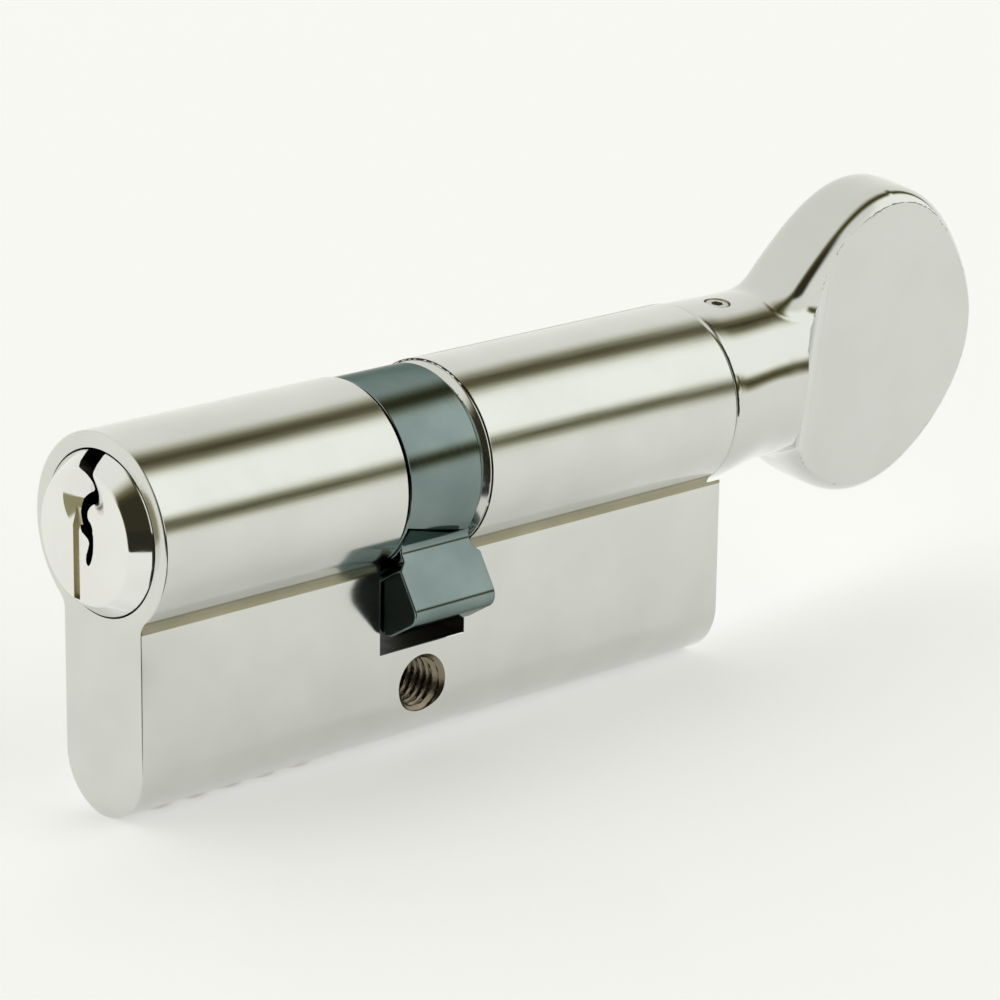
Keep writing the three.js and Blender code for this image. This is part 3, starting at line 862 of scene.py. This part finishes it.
ROOM = ((0.0, (0.95, 0.955, 0.90)), (1.0, (0.87, 0.875, 0.835)))  # from level to high up
SOFT_BOX = (1.14, 1.16, 1.11, 1)
FLAG = (  # how a flag shades the light, from its middle to its edge
    (0.0, (0.05, 0.045, 0.017)), (0.36, (0.2, 0.186, 0.11)), (0.52, (0.45, 0.435, 0.34)),
    (0.78, (0.8, 0.795, 0.73)), (1.0, (1, 1, 1)),
)
SHADE = (0.035, 0.032, 0.018, 1)


def flag_middle(tree, side, start, slope, step, back):
    """The tilt of a flag's middle. It slopes along X, steps up, and steps back a little after."""
    step_up = combine(tree, "MULTIPLY", ease(tree, side, 0.64, 0.665), step)
    step_back = combine(tree, "MULTIPLY", ease(tree, side, 0.705, 0.712), back)
    middle = combine(tree, "MULTIPLY_ADD", side, slope, start)
    return combine(tree, "SUBTRACT", combine(tree, "ADD", middle, step_up), step_back)


def studio_light(tree, side, height, tilt):
    """The light from each direction: the room, its soft box, the two flags and the shade."""
    over = combine(tree, "SUBTRACT", tilt, flag_middle(tree, side, -14.6, 20.5, 9.5, 8.0))
    under = combine(tree, "SUBTRACT", tilt, flag_middle(tree, side, -78.5, 0.0, 5.5, 6.0))
    room = ramp(tree, ease(tree, height, 0.0, 0.9), ROOM)
    in_box = combine(tree, "MULTIPLY", ease(tree, over, -10, -16), ease(tree, under, 5, 9))
    in_box = combine(tree, "MULTIPLY", in_box, ease(tree, side, 0.25, 0.5))
    light = mixed(tree, "MIX", in_box, room, SOFT_BOX)
    for off_middle, reach, start in ((over, 23.0, -2.0), (under, 13.0, 0.3)):
        away = combine(tree, "DIVIDE", combine(tree, "ABSOLUTE", off_middle), reach)
        away = combine(tree, "ADD", away, ease(tree, side, start + 0.2, start))
        light = mixed(tree, "MULTIPLY", 1.0, light, ramp(tree, away, FLAG))
    shaded = combine(tree, "MULTIPLY", ease(tree, side, -0.12, -0.36), ease(tree, tilt, -24, -32))
    shaded = combine(tree, "MULTIPLY", shaded, ease(tree, tilt, -104, -94))
    return mixed(tree, "MIX", shaded, light, SHADE)


def make_world():
    """A pale room, with a brighter soft box and two dark olive flags that the barrel mirrors."""
    world = bpy.data.worlds.new("studio")
    scene.world = world
    world.use_nodes = True
    tree = world.node_tree
    tree.nodes.clear()
    out = add_node(tree, "ShaderNodeOutputWorld")
    sky = add_node(tree, "ShaderNodeBackground", Strength=1.0)
    tree.links.new(sky.outputs["Background"], out.inputs["Surface"])
    toward = add_node(tree, "ShaderNodeTexCoord").outputs["Generated"]
    apart = add_node(tree, "ShaderNodeSeparateXYZ")
    tree.links.new(toward, apart.inputs["Vector"])
    side, depth, height = (apart.outputs[c] for c in "XYZ")
    # The tilt of a direction about the barrel's axis: 0 overhead, -90 to the front.
    tilt = combine(tree, "MULTIPLY", combine(tree, "ARCTAN2", depth, height), 360 / TURN)
    tree.links.new(studio_light(tree, side, height, tilt), sky.inputs["Color"])


def matt(name, colour, rough):
    material, _, shader = node_tree(name)
    shader.inputs["Base Color"].default_value = (*colour, 1)
    shader.inputs["Roughness"].default_value = rough
    return material, shader


def hidden_card(name, corners, faces, colour):
    """A matt card that only reflections show."""
    card = mesh_object(name, [corner * MM for corner in corners], faces, outward=False)
    lined(card, matt(name, colour, 1.0)[0])
    card.visible_camera = card.visible_diffuse = card.visible_shadow = False


def make_dark_card():
    """A dark card beside the camera, with a foot flat on the floor."""
    outward, across, up = Vector((-0.62, -0.785, 0.0)), Vector((0.785, -0.62, 0.0)), Vector((0, 0, 1))
    card_out, floor_z = 52, -5.6
    upright = [(-60, 10.7), (-16, 10.7), (-11, -5.7), (45, -5.7), (45, 24), (-60, 24)]
    corners = [card_out * outward + a * across + h * up for a, h in upright]
    foot = [(33, -14), (33, 20), (51.5, 20), (51.5, -14)]
    corners += [d * outward + a * across + floor_z * up for d, a in foot]
    faces = [tuple(range(len(upright))), tuple(range(len(upright), len(corners)))]
    hidden_card("dark_card", corners, faces, (0.02, 0.018, 0.01))


def make_olive_card():
    """A card to the key side of the part, seen only in the countersink of the plug's face."""
    x, near, far, low, high = -92, 4, 30, 0.9, 26
    outline = [(near, low), (far, low), (far, high), (near, high)]
    corners = [Vector((x, y, z)) for y, z in outline]
    hidden_card("olive_card", corners, [(0, 1, 2, 3)], (0.34, 0.31, 0.18))


def make_floor():
    size = 4.0
    gap = 0.00002
    height = (FOOT_Z - WEB_HALF) * MM - gap
    corners = [(-size, -size, height), (size, -size, height), (size, size, height),
               (-size, size, height)]
    floor = mesh_object("floor", corners, [(0, 1, 2, 3)], outward=False)
    material, shader = matt("pale_floor", (0.93, 0.93, 0.935), 0.9)
    shader.inputs["Emission Color"].default_value = (1, 1, 1, 1)
    shader.inputs["Emission Strength"].default_value = 0.31
    lined(floor, material)


make_camera()
make_world()
make_floor()
make_dark_card()
make_olive_card()
make_body()
make_plug()
make_circlips()
make_pin_stacks()
make_clutch_spring()
make_cam()
make_clutch()
make_thumbturn()
make_set_screw()
make_spindle()
scene.view_settings.view_transform = "Standard"
